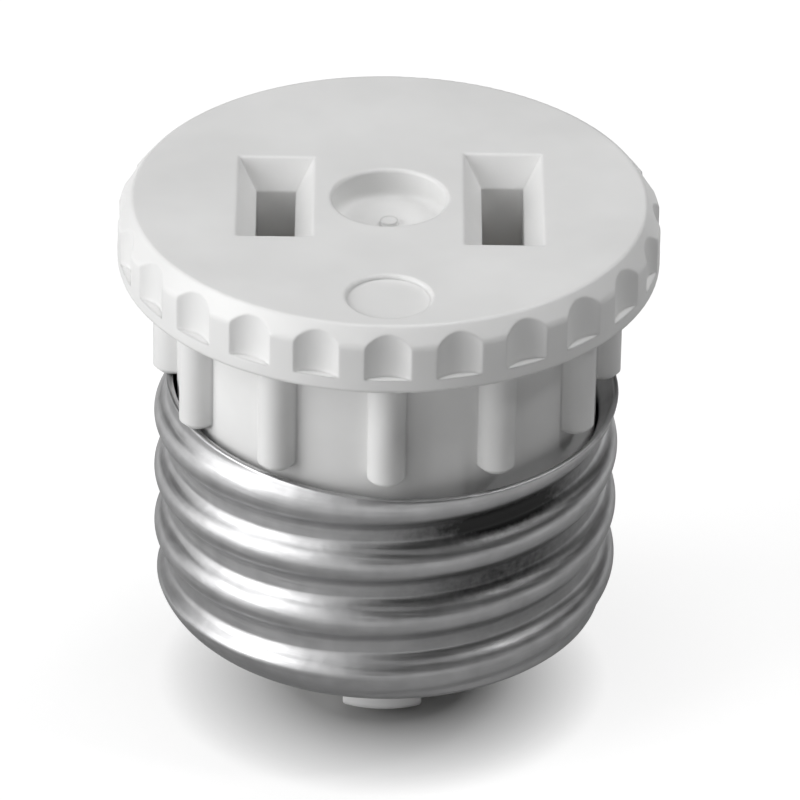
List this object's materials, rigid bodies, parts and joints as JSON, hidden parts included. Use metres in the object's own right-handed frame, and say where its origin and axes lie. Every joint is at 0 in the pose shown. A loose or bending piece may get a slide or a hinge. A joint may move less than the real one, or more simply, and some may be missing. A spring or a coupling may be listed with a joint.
{
  "type": "lamp socket adapter",
  "caption": "Screw-in lamp socket adapter: ribbed plastic body with a polarised blade outlet in its flat round face, on a medium screw base with a rolled metal shell.",
  "frame": {"origin": "middle of the centre contact's underside, the lowest point of the part", "axes": "+Z along the screw axis, out of the outlet face; +X from the narrow slot to the wide slot; -Y is the front in the picture"},
  "size_m": [0.0304, 0.0304, 0.0314],
  "materials": {
    "white_plastic": "satin moulded white",
    "shell_metal": "satin rolled sheet",
    "contact_metal": "bright strip"
  },
  "bodies": {
    "root": {"outlet_body": "white_plastic", "base_cap": "white_plastic", "screw_shell": "shell_metal", "hot_contact": "contact_metal", "neutral_contact": "contact_metal", "centre_rivet": "contact_metal"}
  },
  "joints": []
}
